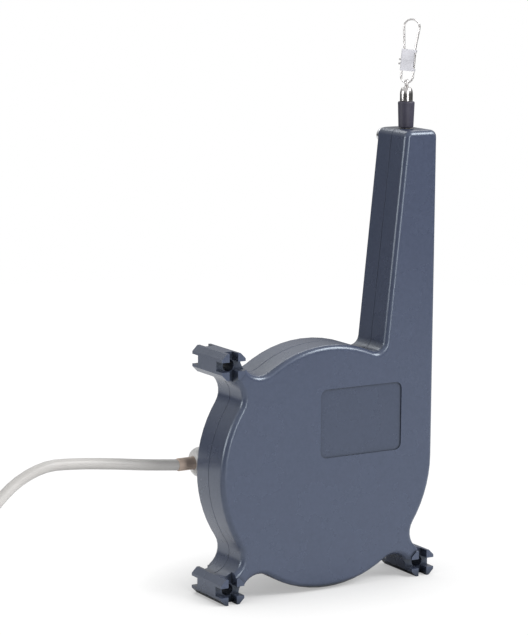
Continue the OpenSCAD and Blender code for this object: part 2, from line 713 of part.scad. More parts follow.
// Folded sheet that holds both ends of the hook's wire
module snap_clip() color([0.82, 0.82, 0.86]) snap_frame() {
    inner_y = snap_wire_d / 2 + 0.05;
    outer_y = inner_y + clip_t;
    left = -snap_low_r - inner_y - clip_t;
    right = snap_low_r - 0.3;
    curl_bore = snap_wire_d + 0.1;
    difference() {
        union() {
            difference() {
                translate([left, -outer_y, clip_low]) cube([right - left, 2 * outer_y, clip_h]);
                translate([left + clip_t, -inner_y, clip_low - overcut])
                    cube([right - left, 2 * inner_y, clip_h + 2 * overcut]);
                for (z = [latch_low, latch_high - 0.6])
                    translate([left - overcut, -inner_y, z])
                        cube([overcut + clip_t + 0.1, 2 * inner_y, 1.1]);
            }
            for (z = [clip_low, clip_top - curl_h])
                translate([snap_low_r, 0, z]) cylinder(d = curl_bore + 2 * curl_t, h = curl_h, $fn = 24);
        }
        for (z = [clip_low, clip_top - curl_h])
            translate([snap_low_r, 0, z - overcut])
                cylinder(d = curl_bore, h = curl_h + 2 * overcut);
    }
}

// ---- Rotary sensor behind the case ----

module magnet_holder() color([0.75, 0.62, 0.35]) to_rear(y_holder)
    rotate_extrude() polygon([[shaft_r, 0], [holder_d / 2, 0], [holder_d / 2, holder_len],
        [magnet_d / 2, holder_len], [magnet_d / 2, holder_len - magnet_t],
        [shaft_r, holder_len - magnet_t]]);

module sensor_magnet() color([0.6, 0.6, 0.62]) to_rear(y_shaft_end) cylinder(d = magnet_d, h = magnet_t);

module sensor_housing() color(sensor_tint) difference() {
    union() {
        difference() {
            to_rear(y_back) cylinder(r = sensor_r, h = sensor_depth, $fn = 96);
            to_rear(y_floor) cylinder(r = sensor_r - sensor_wall, h = sensor_depth);
        }
        to_left(-sensor_r + sensor_wall + 0.8)
            cylinder(d = pad_d, h = -pad_x - sensor_r + sensor_wall + 0.8);
        for (p = cover_screw_places)
            to_rear(y_post, p[0], p[1]) cylinder(d = cover_post_d, h = y_cover - y_post);
        for (p = board_screw_places)
            to_rear(y_post, p[0], p[1]) cylinder(d = board_post_d, h = y_board - y_post);
        to_rear(y_back - spigot_len)
            cylinder(d = bearing_d - 2 * slip_fit, h = spigot_len + sensor_wall / 2);
    }
    to_rear(y_back - overcut) cylinder(d = circlip_d + 2 * move_gap, h = 2 * overcut + sensor_wall);
    to_rear(y_back) cylinder(d = holder_d + 2 * move_gap, h = overcut + sensor_wall);
    to_left(-sensor_r + sensor_wall + 2) cylinder(d = gland_thread_d, h = sensor_wall + 2 + overcut);
    for (p = sensor_screw_places)
        to_rear(y_back - overcut, p[0], p[1]) cylinder(d = screw_hole_d, h = sensor_wall + 2 * overcut);
    for (p = cover_screw_places)
        to_rear(y_cover - cover_screw_bite, p[0], p[1])
            cylinder(d = screw_d, h = cover_screw_bite + overcut);
    for (p = board_screw_places)
        to_rear(y_board - board_screw_bite, p[0], p[1])
            cylinder(d = board_screw_d, h = board_screw_bite + overcut);
}

module sensor_housing_screws() color([0.8, 0.8, 0.82]) {
    for (p = sensor_screw_places)
        to_front(y_floor, p[0], p[1]) pan_screw(screw_d, sensor_wall + sensor_screw_bite - 0.4, 4.6, 1.6);
}

module sensor_board() color([0.1, 0.35, 0.18]) difference() {
    to_rear(y_board) cylinder(r = board_r, h = board_t);
    for (p = board_screw_places)
        to_rear(y_board - overcut, p[0], p[1]) cylinder(d = board_screw_d + 0.3, h = board_t + 2 * overcut);
}

module hall_sensor() color([0.08, 0.08, 0.09])
    translate([-2.5, y_board - 1, z_axis - 2.5]) cube([5, 1, 5]);

module board_screws() color([0.8, 0.8, 0.82]) {
    for (p = board_screw_places) to_front(y_board + board_t, p[0], p[1])
        pan_screw(board_screw_d, board_t + board_screw_bite - 0.4, 3.8, 1.4);
}

module cover_seal() color([0.1, 0.1, 0.1])
    to_rear(y_cover) ring(sensor_d - 0.6, sensor_d - 2 * sensor_wall + 0.2, seal_t);

module sensor_cover() color(sensor_tint) difference() {
    to_rear(y_cover + seal_t) rotate_extrude($fn = 96) polygon([[0, 0], [sensor_r, 0],
        [sensor_r, cover_t - 0.6], [sensor_r - 0.6, cover_t], [0, cover_t]]);
    for (p = cover_screw_places)
        to_rear(y_cover + seal_t - overcut, p[0], p[1]) {
            cylinder(d = screw_hole_d, h = cover_t + 2 * overcut);
            translate([0, 0, overcut + cover_t - sunk_h])
                cylinder(d1 = screw_hole_d, d2 = sunk_d + 0.3, h = sunk_h);
            translate([0, 0, overcut + cover_t]) cylinder(d = sunk_d + 0.3, h = overcut);
        }
}

// Countersunk screws, flush with the cover
module cover_screws() color([0.8, 0.8, 0.82]) {
    len = cover_t + seal_t + cover_screw_bite - 0.4;
    for (p = cover_screw_places) to_front(y_cover + seal_t + cover_t - 0.1, p[0], p[1]) difference() {
        rotate_extrude()
            polygon([[0, 0], [sunk_d / 2, 0], [screw_d / 2, sunk_h], [screw_d / 2, len], [0, len]]);
        translate([-sunk_d * 0.3, -0.3, -overcut]) cube([sunk_d * 0.6, 0.6, overcut + 0.6]);
        translate([-0.3, -sunk_d * 0.3, -overcut]) cube([0.6, sunk_d * 0.6, overcut + 0.6]);
    }
}

// ---- Cable gland ----

module gland_body() color([0.7, 0.7, 0.7]) difference() {
    union() {
        to_left(pad_x + gland_thread_len)
            cylinder(d = gland_thread_d, h = gland_thread_len + gland_collar_t + gland_socket);
        to_left(pad_x) cylinder(d = gland_d, h = gland_collar_t);
    }
    to_left(pad_x + gland_thread_len + overcut) cylinder(d = sleeve_d + 2 * slip_fit,
        h = gland_thread_len + gland_collar_t + gland_socket + 2 * overcut);
}

module gland_seal() color([0.15, 0.15, 0.15]) to_left(nut_x - gland_socket)
    ring(gland_thread_d - 0.6, sleeve_d, gland_nut_len - gland_socket - dome_t);

module gland_nut() color([0.78, 0.78, 0.77]) to_left(nut_x) {
    bore_r = sleeve_d / 2 + slip_fit;
    r = gland_d / 2;
    end_r = dome_d / 2;
    straight = gland_nut_len * 0.5;
    dome = [for (k = [0:6]) let (a = 90 * k / 6)
        [end_r - 0.8 + (r - end_r + 0.8) * cos(a), straight + (gland_nut_len - straight) * sin(a)]];
    inner_end = gland_nut_len - dome_t;
    rotate_extrude() polygon(concat([[gland_thread_d / 2, 0], [r - 0.3, 0], [r, 0.3]], dome,
        [[bore_r, gland_nut_len], [bore_r, inner_end], [gland_thread_d / 2, inner_end]]));
}

// ---- Signal cable ----

module cable_sleeve() color([0.75, 0.68, 0.58])
    to_left(sleeve_x) cylinder(d = sleeve_d, h = sleeve_x - cable_x);

// The cable with the one turn that lies on the coil
module signal_cable() color([0.72, 0.7, 0.68])
    sweep(concat(smooth(concat(cable_route, [top_turn[0]]), 3), [for (i = [1:len(top_turn) - 1]) top_turn[i]],
        [top_turn_end]), cable_d, 10);

module cable_coil() color([0.72, 0.7, 0.68]) translate([coil_x, coil_y, tie_t]) {
    c = 2;
    w = coil_w / 2;
    rotate_extrude() translate([coil_r, 0]) polygon([[-w + c, 0], [w - c, 0], [w, c], [w, coil_h - c],
        [w - c, coil_h], [-w + c, coil_h], [-w, coil_h - c], [-w, c]]);
}

// Strap round the coil, on its near side
module cable_tie() color([0.1, 0.1, 0.1]) translate([coil_x, coil_y - coil_r, tie_t]) rotate([90, 0, 90])
    translate([0, 0, -tie_w / 2]) linear_extrude(tie_w) difference() {
        translate([-coil_w / 2 - tie_t, -tie_t]) square([coil_w + 2 * tie_t, coil_h + 2 * tie_t]);
        translate([-coil_w / 2, 0]) square([coil_w, coil_h]);
    }

module cable_tail() color([0.72, 0.7, 0.68]) sweep(smooth(tail_route, 2), cable_d, 10);

// One conductor from the stripped end, fanned out by its number
function conductor(i) = let (n = len(tail_route), end = tail_route[n - 1],
    t = unit(end - tail_route[n - 2] + [1.5, 0, 0]),
    across = [-t[1], t[0], 0] * (i - 2), lift = i % 2 == 0 ? -0.65 : 0.65)
    [end + 0.62 * across + [0, 0, lift],
    end + 3 * t + 0.9 * across + [0, 0, lift],
    end + 8 * t + 1.32 * across + [0, 0, -0.4],
    end + 13 * t + 1.4 * across + [0, 0, -1.1],
    end + 17 * t + 1.55 * across + [0, 0, -1.1]];

module conductors() {
    tints = ["white", "saddlebrown", "green", "gold", "gray"];
    for (i = [0:4]) color(tints[i]) sweep(smooth(conductor(i), 2), conductor_d, 6);
}

module ferrules() color([0.8, 0.8, 0.82]) {
    for (i = [0:4]) {
        p = conductor(i);
        t = unit(p[4] - p[3]);
        translate(p[4]) rotate([0, 90, atan2(t[1], t[0])]) cylinder(d = conductor_d * 1.2, h = ferrule_len);
    }
}

front_shell();
rear_shell();
case_screws();
front_bearing();
rear_bearing();
drum_shaft();
shaft_circlip();
cable_drum();
power_spring();
wire_winding();
wire_guide();
wire_wiper();
measuring_wire();
wire_ferrule();
bumper();
swivel_barrel();
swivel_eye();
snap_wire();
snap_clip();
magnet_holder();
sensor_magnet();
sensor_housing();
sensor_housing_screws();
sensor_board();
hall_sensor();
board_screws();
cover_seal();
sensor_cover();
cover_screws();
gland_body();
gland_seal();
gland_nut();
cable_sleeve();
signal_cable();
cable_coil();
cable_tie();
cable_tail();
conductors();
ferrules();
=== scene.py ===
# Draw-wire encoder: a flat round case with a tall wire neck, three slotted feet, a snap hook on
# the wire, a rotary sensor behind the case and its signal cable. Metres, in the frame's axes.
import math
import bmesh
import bpy
from mathutils import Matrix, Vector


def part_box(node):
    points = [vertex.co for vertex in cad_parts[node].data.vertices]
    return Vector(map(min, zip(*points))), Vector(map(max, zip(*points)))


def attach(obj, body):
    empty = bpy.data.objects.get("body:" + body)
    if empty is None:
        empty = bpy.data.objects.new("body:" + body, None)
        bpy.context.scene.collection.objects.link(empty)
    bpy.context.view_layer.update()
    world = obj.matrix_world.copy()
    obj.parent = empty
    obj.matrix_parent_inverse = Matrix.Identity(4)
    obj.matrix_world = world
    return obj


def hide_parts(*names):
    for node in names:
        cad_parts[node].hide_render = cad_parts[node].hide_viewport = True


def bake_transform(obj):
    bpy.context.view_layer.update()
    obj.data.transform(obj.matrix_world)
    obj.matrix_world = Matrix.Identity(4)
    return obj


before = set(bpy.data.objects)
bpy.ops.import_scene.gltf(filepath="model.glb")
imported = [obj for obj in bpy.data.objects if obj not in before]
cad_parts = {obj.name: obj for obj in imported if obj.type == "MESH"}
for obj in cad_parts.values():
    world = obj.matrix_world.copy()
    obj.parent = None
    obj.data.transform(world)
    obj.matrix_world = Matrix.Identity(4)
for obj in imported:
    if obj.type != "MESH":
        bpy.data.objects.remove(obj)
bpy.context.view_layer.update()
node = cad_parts

# ---- Camera ----
# It stands to the left of the front face, a little above the case, and looks slightly down
# through a long lens. Its focus is in millimetres, for a frame 36 mm high.
camera_turn = math.radians(-30.8)
camera_rise = math.radians(9.6)
camera_roll = math.radians(0.41)
camera_range = 0.888
camera_focus = 145.7008
camera_target = Vector((-0.0277, -0.0207, 0.1009))

back = Vector((math.sin(camera_turn) * math.cos(camera_rise),
               -math.cos(camera_turn) * math.cos(camera_rise), math.sin(camera_rise)))
level = (-back).cross(Vector((0, 0, 1))).normalized()
upright = back.cross(level)
right = level * math.cos(camera_roll) + upright * math.sin(camera_roll)
up = upright * math.cos(camera_roll) - level * math.sin(camera_roll)
lens = bpy.data.cameras.new("camera")
lens.lens = camera_focus
lens.clip_start = 0.01
camera = bpy.data.objects.new("camera", lens)
camera.matrix_world = Matrix.Translation(camera_target + back * camera_range) @ Matrix(
    (right, up, back)).transposed().to_4x4()
bpy.context.scene.collection.objects.link(camera)
bpy.context.scene.camera = camera

# ---- Signal cable ----
# One metre of round cable with a light grey jacket. Its stiffness carries it out of the gland
# a little upwards, then it bends down to the floor and lies wound up, with its stripped end free.
cable_d = 0.004
cable_exit = (-45.4, 9.3, 44.7)
cable_route = [cable_exit, (-58, 9.3, 46.1), (-72, 9.3, 48), (-86, 9.3, 49.5), (-97, 9.3, 49.6),
               (-107.5, 8.6, 46), (-117, 6.3, 39.8), (-126, 2.6, 31.8), (-134.5, -2.2, 23.8),
               (-143, -6.6, 16.9), (-151, -8.6, 12.8)]
coil_at = (-149, 16)
coil_start = math.radians(250)
coil_turns = 6.1
coil_steps = 30
# Turns wound so far, against the distance from the coil's centre and the height on the floor
coil_spread = [(0, 25), (1.55, 25.05), (1.7, 21), (2.55, 21), (2.7, 16.95), (4.15, 16.95),
               (4.3, 21), (5.15, 21), (5.3, 25.05), (coil_turns, 25.05)]
coil_climb = [(0, 10.7), (0.7, 10.7), (0.92, 6.6), (3.3, 6.6), (3.52, 2.5), (coil_turns, 2.5)]
tail_route = [(-172.9, 4, 2.4), (-177.2, 10.6, 2.1), (-178.3, 18, 2.1)]
free_steps = 3  # points on each stretch of the cable that isn't wound


def eased(knots, s):
    """Value at s on a line of knots, with a soft start and end to each step."""
    for (s0, v0), (s1, v1) in zip(knots, knots[1:]):
        if s <= s1:
            t = (s - s0) / (s1 - s0)
            return v0 + (v1 - v0) * t * t * (3 - 2 * t)
    return knots[-1][1]


def smooth(route, steps):
    """Points of a smooth curve through the route's points."""
    out = []
    for i in range(len(route) - 1):
        a, b, c, d = (Vector(route[min(max(i + k, 0), len(route) - 1)]) for k in (-1, 0, 1, 2))
        for k in range(steps):
            t = k / steps
            out.append(0.5 * (2 * b + (c - a) * t + (2 * a - 5 * b + 4 * c - d) * t * t
                              + (3 * b - a - 3 * c + d) * t * t * t))
    return out + [Vector(route[-1])]


def millimetres(points):
    """Points given in millimetres, as the metres that the scene is in."""
    return [Vector(p) / 1000 for p in points]


def tube(name, points, diameter, material=None):
    """Round bar or cord as a curve of one open spline, with closed ends."""
    curve = bpy.data.curves.new(name, "CURVE")
    curve.dimensions = "3D"
    curve.bevel_depth = diameter / 2
    curve.bevel_resolution = 5
    curve.use_fill_caps = True
    spline = curve.splines.new("POLY")
    spline.points.add(len(points) - 1)
    for point, p in zip(spline.points, points):
        point.co = (*p, 1)
    spline.use_smooth = True
    piece = bpy.data.objects.new(name, curve)
    bpy.context.scene.collection.objects.link(piece)
    if material:
        curve.materials.append(material)
    return piece


def wiring(tree):
    """Function that adds a node to the tree, sets it and wires its inputs."""
    def add(kind, wires=(), **settings):
        part = tree.nodes.new(kind)
        for key, value in settings.items():
            setattr(part, key, value)
        for key, value in dict(wires).items():
            if isinstance(value, bpy.types.NodeSocket):
                tree.links.new(value, part.inputs[key])
            else:
                part.inputs[key].default_value = value
        return part

    return add


def shader(name, colour, rough, metal=0.0):
    """New material with its main shader, and the functions that add a node and link two."""
    material = bpy.data.materials.new(name)
    material.use_nodes = True
    tree = material.node_tree
    main = tree.nodes["Principled BSDF"]
    main.inputs["Base Color"].default_value = (*colour, 1)
    main.inputs["Roughness"].default_value = rough
    main.inputs["Metallic"].default_value = metal
    return material, main, wiring(tree), tree.links.new


def blended(add, factor, low, high):
    """Colour that runs from low to high as factor goes from 0 to 1."""
    ramp = add("ShaderNodeValToRGB", {"Fac": factor})
    ramp.color_ramp.elements[0].color = (*low, 1)
    ramp.color_ramp.elements[1].color = (*high, 1)
    return ramp


def bumped(add, link, main, height, strength, distance):
    """Roughens the surface by the given height, in metres at full strength."""
    bump = add("ShaderNodeBump", {"Height": height, "Strength": strength, "Distance": distance})
    link(bump.outputs["Normal"], main.inputs["Normal"])


def jacket(name, low, high, rough):
    """Extruded cable jacket: even colour with faint rubbing marks and a slight orange peel."""
    material, main, add, link = shader(name, high, rough)
    place = add("ShaderNodeTexCoord").outputs["Object"]
    marks = add("ShaderNodeTexNoise", {"Vector": place, "Scale": 90, "Detail": 5,
                                       "Roughness": 0.65})
    spread = add("ShaderNodeMapRange", {"Value": marks.outputs["Fac"], "From Min": 0.3,
                                        "From Max": 0.7})
    link(blended(add, spread.outputs["Result"], low, high).outputs["Color"],
         main.inputs["Base Color"])
    peel = add("ShaderNodeTexNoise", {"Vector": place, "Scale": 500, "Detail": 1})
    bumped(add, link, main, peel.outputs["Fac"], 0.06, 0.00004)
    return material


jacket_grey = jacket("jacket_grey", (0.6, 0.585, 0.565), (0.65, 0.635, 0.615), 0.42)
wound = []
for k in range(int(coil_turns * coil_steps) + 1):
    s = k / coil_steps
    turn = coil_start - 2 * math.pi * s
    reach = eased(coil_spread, s)
    wound.append((coil_at[0] + reach * math.cos(turn), coil_at[1] + reach * math.sin(turn),
                  eased(coil_climb, s)))
cable_points = millimetres(smooth(cable_route + [wound[0]], free_steps)[:-1] + wound
                           + smooth([wound[-1]] + tail_route, free_steps)[1:])
cable = tube("signal_cable_jacket", cable_points, cable_d, jacket_grey)
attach(cable, "housing")
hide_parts("signal_cable", "cable_coil", "cable_tail")

# ---- Stripped end of the cable ----
# Five thin insulated conductors fan out of the cut jacket. Each ends in a crimped tin ferrule,
# which keeps its CAD shape.
conductor_d = 0.001
conductor_steps = 6
conductor_lift = 0.65
conductor_colours = [("white", (0.8, 0.8, 0.78)), ("brown", (0.22, 0.1, 0.05)),
                     ("green", (0.03, 0.3, 0.08)), ("yellow", (0.8, 0.62, 0.05)),
                     ("grey", (0.35, 0.36, 0.38))]
# Way out of the jacket, against the spacing, the share of the lift and the drop to the floor
conductor_fan = [(0, 0.62, 1, 0), (3, 0.9, 1, 0), (8, 1.32, 0, 0.4), (13, 1.4, 0, 1.1),
                 (17, 1.55, 0, 1.1)]
tail_end = Vector(tail_route[-1])
tail_way = (tail_end - Vector(tail_route[-2]) + Vector((1.5, 0, 0))).normalized()
tail_side = Vector((-tail_way.y, tail_way.x, 0))
for i, (word, colour) in enumerate(conductor_colours):
    side = tail_side * (i - 2)
    lift = conductor_lift * (-1 if i % 2 == 0 else 1)
    route = [tail_end + way * tail_way + space * side + Vector((0, 0, share * lift - drop))
             for way, space, share, drop in conductor_fan]
    insulation = jacket("insulation_" + word, [c * 0.85 for c in colour], colour, 0.3)
    wire = tube("conductor_" + word, millimetres(smooth(route, conductor_steps)),
                conductor_d, insulation)
    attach(wire, "housing")
    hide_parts("conductors")


def smooth_shading(angle):
    """Node group that shades smooth all but the edges sharper than angle."""
    name = "smooth_below_%d" % angle
    if name in bpy.data.node_groups:
        return bpy.data.node_groups[name]
    group = bpy.data.node_groups.new(name, "GeometryNodeTree")
    group.interface.new_socket("Geometry", in_out="INPUT", socket_type="NodeSocketGeometry")
    group.interface.new_socket("Geometry", in_out="OUTPUT", socket_type="NodeSocketGeometry")
    start = group.nodes.new("NodeGroupInput")
    plain = group.nodes.new("GeometryNodeRemoveAttribute")
    plain.inputs["Name"].default_value = "custom_normal"
    faces = group.nodes.new("GeometryNodeSetShadeSmooth")
    edges = group.nodes.new("GeometryNodeSetShadeSmooth")
    edges.domain = "EDGE"
    edges.inputs["Shade Smooth"].default_value = False
    bend = group.nodes.new("GeometryNodeInputMeshEdgeAngle")
    sharper = group.nodes.new("FunctionNodeCompare")
    sharper.operation = "GREATER_THAN"
    sharper.inputs["B"].default_value = math.radians(angle)
    end = group.nodes.new("NodeGroupOutput")
    link = group.links.new
    link(start.outputs[0], plain.inputs["Geometry"])
    link(plain.outputs["Geometry"], faces.inputs["Geometry"])
    link(faces.outputs["Geometry"], edges.inputs["Geometry"])
    link(bend.outputs["Unsigned Angle"], sharper.inputs["A"])
    link(sharper.outputs["Result"], edges.inputs["Selection"])
    link(edges.outputs["Geometry"], end.inputs[0])
    return group


def eased_edges(piece, width, material, sharp=35):
    """Gives a CAD node its material, and rounds its edges as moulding or tumbling does."""
    weld = piece.modifiers.new("weld", "WELD")
    weld.merge_threshold = 1e-6
    flat = piece.modifiers.new("flat faces", "DECIMATE")
    flat.decimate_type = "DISSOLVE"
    flat.angle_limit = math.radians(0.6)
    if width:
        bevel = piece.modifiers.new("edges", "BEVEL")
        bevel.width = width
        bevel.segments = 2
        bevel.limit_method = "ANGLE"
        bevel.angle_limit = math.radians(sharp)
        bevel.use_clamp_overlap = True
        bevel.miter_outer = "MITER_ARC"
    shade = piece.modifiers.new("shade", "NODES")
    shade.node_group = smooth_shading(sharp)
    weigh = piece.modifiers.new("even shade", "WEIGHTED_NORMAL")
    weigh.keep_sharp = True
    piece.data.materials.clear()
    piece.data.materials.append(material)


def metal(name, low, high, rough, scratches=400, dent=0.06):
    """Plated or ground metal: slightly uneven tone and gloss with fine rubbing marks."""
    material, main, add, link = shader(name, high, rough, 1.0)
    place = add("ShaderNodeTexCoord").outputs["Object"]
    cloud = add("ShaderNodeTexNoise", {"Vector": place, "Scale": 250, "Detail": 3})
    link(blended(add, cloud.outputs["Fac"], low, high).outputs["Color"], main.inputs["Base Color"])
    gloss = add("ShaderNodeMapRange", {"Value": cloud.outputs["Fac"], "To Min": rough * 0.7,
                                       "To Max": rough * 1.3})
    link(gloss.outputs["Result"], main.inputs["Roughness"])
    marks = add("ShaderNodeTexNoise", {"Vector": place, "Scale": scratches, "Detail": 6})
    bumped(add, link, main, marks.outputs["Fac"], dent, 0.0001)
    return material


tin = metal("tin", (0.6, 0.6, 0.6), (0.72, 0.72, 0.73), 0.35)
eased_edges(node["ferrules"], 0.0001, tin)

# ---- Cable tie ----
# A moulded black nylon strap with fine ribs, pulled tight through its own head. It holds the
# coil's turns together.
tie_black, main, add, link = shader("tie_black", (0.018, 0.018, 0.02), 0.4)
place = add("ShaderNodeTexCoord").outputs["Object"]
ribs = add("ShaderNodeTexWave", {"Vector": place, "Scale": 400, "Distortion": 0.2},
           bands_direction="Z")
bumped(add, link, main, ribs.outputs["Fac"], 0.2, 0.0002)
eased_edges(node["cable_tie"], 0.00015, tie_black)

# ---- Sleeve at the cable exit ----
# A soft beige rubber sleeve, pushed over the cable. The gland's seal grips it, and it carries
# on a little way out to keep the cable from kinking.
sleeve_beige, main, add, link = shader("sleeve_beige", (0.68, 0.54, 0.44), 0.6)
place = add("ShaderNodeTexCoord").outputs["Object"]
marks = add("ShaderNodeTexNoise", {"Vector": place, "Scale": 350, "Detail": 4})
link(blended(add, marks.outputs["Fac"], (0.6, 0.46, 0.37), (0.76, 0.62, 0.52)).outputs["Color"],
     main.inputs["Base Color"])
bumped(add, link, main, marks.outputs["Fac"], 0.3, 0.0001)
eased_edges(node["cable_sleeve"], 0.0004, sleeve_beige)

# ---- Case ----
# Two moulded halves of dark slate blue plastic, screwed together at mid-depth. The skin has a
# fine spark-eroded grain, clouded a little by the glass filling. Its colour carries painted shade:
# it is darkened in its hollows by ambient occlusion.
def moulding(name, low, high, rough, grain=0.25, cloud_size=60, painted_shade_reach=0.0):
    """Moulded plastic, with painted shade: colour darkened where walls stand within the given
    reach of each other.
    """
    material, main, add, link = shader(name, high, rough)
    place = add("ShaderNodeTexCoord").outputs["Object"]
    cloud = add("ShaderNodeTexNoise", {"Vector": place, "Scale": cloud_size, "Detail": 6,
                                       "Roughness": 0.6})
    fleck = add("ShaderNodeTexNoise", {"Vector": place, "Scale": 900, "Detail": 3})
    mixed = add("ShaderNodeMath", {0: cloud.outputs["Fac"], 1: 0.25, 2: fleck.outputs["Fac"]},
                operation="MULTIPLY_ADD")
    spread = add("ShaderNodeMapRange", {"Value": mixed.outputs[0], "From Min": 0.4,
                                        "From Max": 0.85})
    tint = blended(add, spread.outputs["Result"], low, high).outputs["Color"]
    if painted_shade_reach:
        # Painted shade: ambient occlusion darkens the base colour in hollows and slots
        shade_occlusion = add("ShaderNodeAmbientOcclusion", {"Distance": painted_shade_reach}, samples=6)
        painted_shade_factor = add("ShaderNodeMath", {0: shade_occlusion.outputs["AO"], 1: 1.6}, operation="POWER")
        tint = add("ShaderNodeVectorMath", {0: tint, "Scale": painted_shade_factor.outputs[0]},
                   operation="SCALE").outputs[0]
    link(tint, main.inputs["Base Color"])
    gloss = add("ShaderNodeMapRange", {"Value": cloud.outputs["Fac"], "From Min": 0.3,
                                       "From Max": 0.7, "To Min": rough - 0.005,
                                       "To Max": rough + 0.01})
    link(gloss.outputs["Result"], main.inputs["Roughness"])
    skin = add("ShaderNodeTexNoise", {"Vector": place, "Scale": 2600, "Detail": 2})
    bumped(add, link, main, skin.outputs["Fac"], grain, 0.00006)
    return material


# The case's colour gets painted shade in hollows within 4 mm
case_plastic = moulding("case_plastic", (0.058, 0.072, 0.118), (0.068, 0.083, 0.135), 0.27, 0.15,
                        painted_shade_reach=0.004)
tree = case_plastic.node_tree
add = wiring(tree)
main = tree.nodes["Principled BSDF"]
main.inputs["Specular IOR Level"].default_value = 0.7
main.inputs["Specular Tint"].default_value = (0.82, 0.92, 1.0, 1)

# The base colour over the bare recess for the plate is darkened to 0.83 of the face's
plate_low = Vector((-0.004, -0.0206, 0.0482))
plate_high = Vector((0.03, -0.0202, 0.073))
plate_shade = 0.83
from_middle = add("ShaderNodeVectorMath", {0: add("ShaderNodeTexCoord").outputs["Object"],
                                           1: (plate_low + plate_high) / 2}, operation="SUBTRACT")
distance = add("ShaderNodeVectorMath", {0: from_middle.outputs[0]}, operation="ABSOLUTE")
share = add("ShaderNodeVectorMath", {0: distance.outputs[0], 1: (plate_high - plate_low) / 2},
            operation="DIVIDE")
sides = add("ShaderNodeSeparateXYZ", {0: share.outputs[0]})
widest = add("ShaderNodeMath", {0: sides.outputs["X"], 1: sides.outputs["Z"]}, operation="MAXIMUM")
largest = add("ShaderNodeMath", {0: widest.outputs[0], 1: sides.outputs["Y"]}, operation="MAXIMUM")
shade = add("ShaderNodeMapRange", {"Value": largest.outputs[0], "From Min": 0.97, "From Max": 1.0,
                                   "To Min": plate_shade, "To Max": 1.0})
dulled = add("ShaderNodeVectorMath", {0: main.inputs["Base Color"].links[0].from_socket,
                                      "Scale": shade.outputs["Result"]}, operation="SCALE")
tree.links.new(dulled.outputs[0], main.inputs["Base Color"])
for name in ("front_shell", "rear_shell"):
    eased_edges(node[name], 0.0002, case_plastic, 32)

# ---- Screws ----
# Bright zinc-plated pan-head screws hold the case, the sensor housing and the board, and
# countersunk ones the rear cover. All have a cross recess.
bright_zinc = metal("bright_zinc", (0.62, 0.63, 0.66), (0.78, 0.79, 0.82), 0.22)
for name in ("case_screws", "sensor_housing_screws", "board_screws", "cover_screws"):
    eased_edges(node[name], 0.00008, bright_zinc, 40)

# ---- Wire exit ----
# A glazed ceramic guide, pressed into the neck's top, leads the wire out. A felt wiper under it
# cleans the wire as it comes in.
glaze, main, add, link = shader("glaze", (0.8, 0.77, 0.68), 0.12)
place = add("ShaderNodeTexCoord").outputs["Object"]
tone = add("ShaderNodeTexNoise", {"Vector": place, "Scale": 300, "Detail": 3})
link(blended(add, tone.outputs["Fac"], (0.74, 0.7, 0.6), (0.85, 0.82, 0.74)).outputs["Color"],
     main.inputs["Base Color"])
eased_edges(node["wire_guide"], 0.0001, glaze)
felt, main, add, link = shader("felt", (0.5, 0.46, 0.38), 0.95)
place = add("ShaderNodeTexCoord").outputs["Object"]
fibres = add("ShaderNodeTexNoise", {"Vector": place, "Scale": 3000, "Detail": 8,
                                    "Distortion": 1.5})
bumped(add, link, main, fibres.outputs["Fac"], 0.8, 0.0002)
eased_edges(node["wire_wiper"], 0.0, felt)

# ---- Measuring wire ----
# Thin steel wire, laid up in seven strands. The hook draws it out of the guide, so on the real
# encoder the stretch between the neck's top and the bumper's foot grows as the wire end moves
# away; here the wire is one fixed mesh.
strand = metal("strand", (0.3, 0.31, 0.33), (0.5, 0.51, 0.54), 0.35)
wire_low, wire_high = (Vector(c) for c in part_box("measuring_wire"))
wire_mid = (wire_low + wire_high) / 2
neck_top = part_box("front_shell")[1][2]
bumper_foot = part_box("bumper")[0][2]
wire_r = (wire_high.x - wire_low.x) / 2
mesh = bpy.data.meshes.new("drawn_wire")
form = bmesh.new()
wire_sides = 35
drawn_from = neck_top - 0.002
wire_levels = [wire_low.z, neck_top - 0.004, drawn_from, neck_top, bumper_foot, wire_high.z]
lay_length = 0.006
strand_dip = 0.07  # share of the radius between two strands
strand_wave = 3.5  # half the number of strands, as each shows as one half wave
rings = []
for z in wire_levels:
    ring = []
    for k in range(wire_sides):
        a = 2 * math.pi * k / wire_sides
        strand_top = abs(math.cos(strand_wave * (a + z / lay_length)))
        r = wire_r * (1 - strand_dip + strand_dip * strand_top)
        ring.append(form.verts.new((wire_mid.x + r * math.cos(a),
                                    wire_mid.y + r * math.sin(a), z)))
    rings.append(ring)
for lower, upper in zip(rings, rings[1:]):
    for k in range(wire_sides):
        j = (k + 1) % wire_sides
        form.faces.new((lower[k], lower[j], upper[j], upper[k])).smooth = True
form.faces.new(rings[0][::-1])
form.faces.new(rings[-1])
form.to_mesh(mesh)
form.free()
drawn_wire = bpy.data.objects.new("drawn_wire", mesh)
bpy.context.scene.collection.objects.link(drawn_wire)
mesh.materials.append(strand)
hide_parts("measuring_wire")
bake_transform(drawn_wire)

# ---- Bumper ----
# A black rubber cone, moulded round the brass ferrule that is crimped on the wire. It stops
# the wire end softly on the neck.
rubber, main, add, link = shader("rubber", (0.03, 0.03, 0.042), 0.55)
place = add("ShaderNodeTexCoord").outputs["Object"]
dust = add("ShaderNodeTexNoise", {"Vector": place, "Scale": 500, "Detail": 6,
                                  "Roughness": 0.7})
tone = blended(add, dust.outputs["Fac"], (0.024, 0.023, 0.038), (0.05, 0.047, 0.078))
link(tone.outputs["Color"], main.inputs["Base Color"])
bumped(add, link, main, dust.outputs["Fac"], 0.25, 0.0001)
eased_edges(node["bumper"], 0.00015, rubber)
brass = metal("brass", (0.5, 0.36, 0.15), (0.72, 0.55, 0.28), 0.3)
eased_edges(node["wire_ferrule"], 0.0, brass)

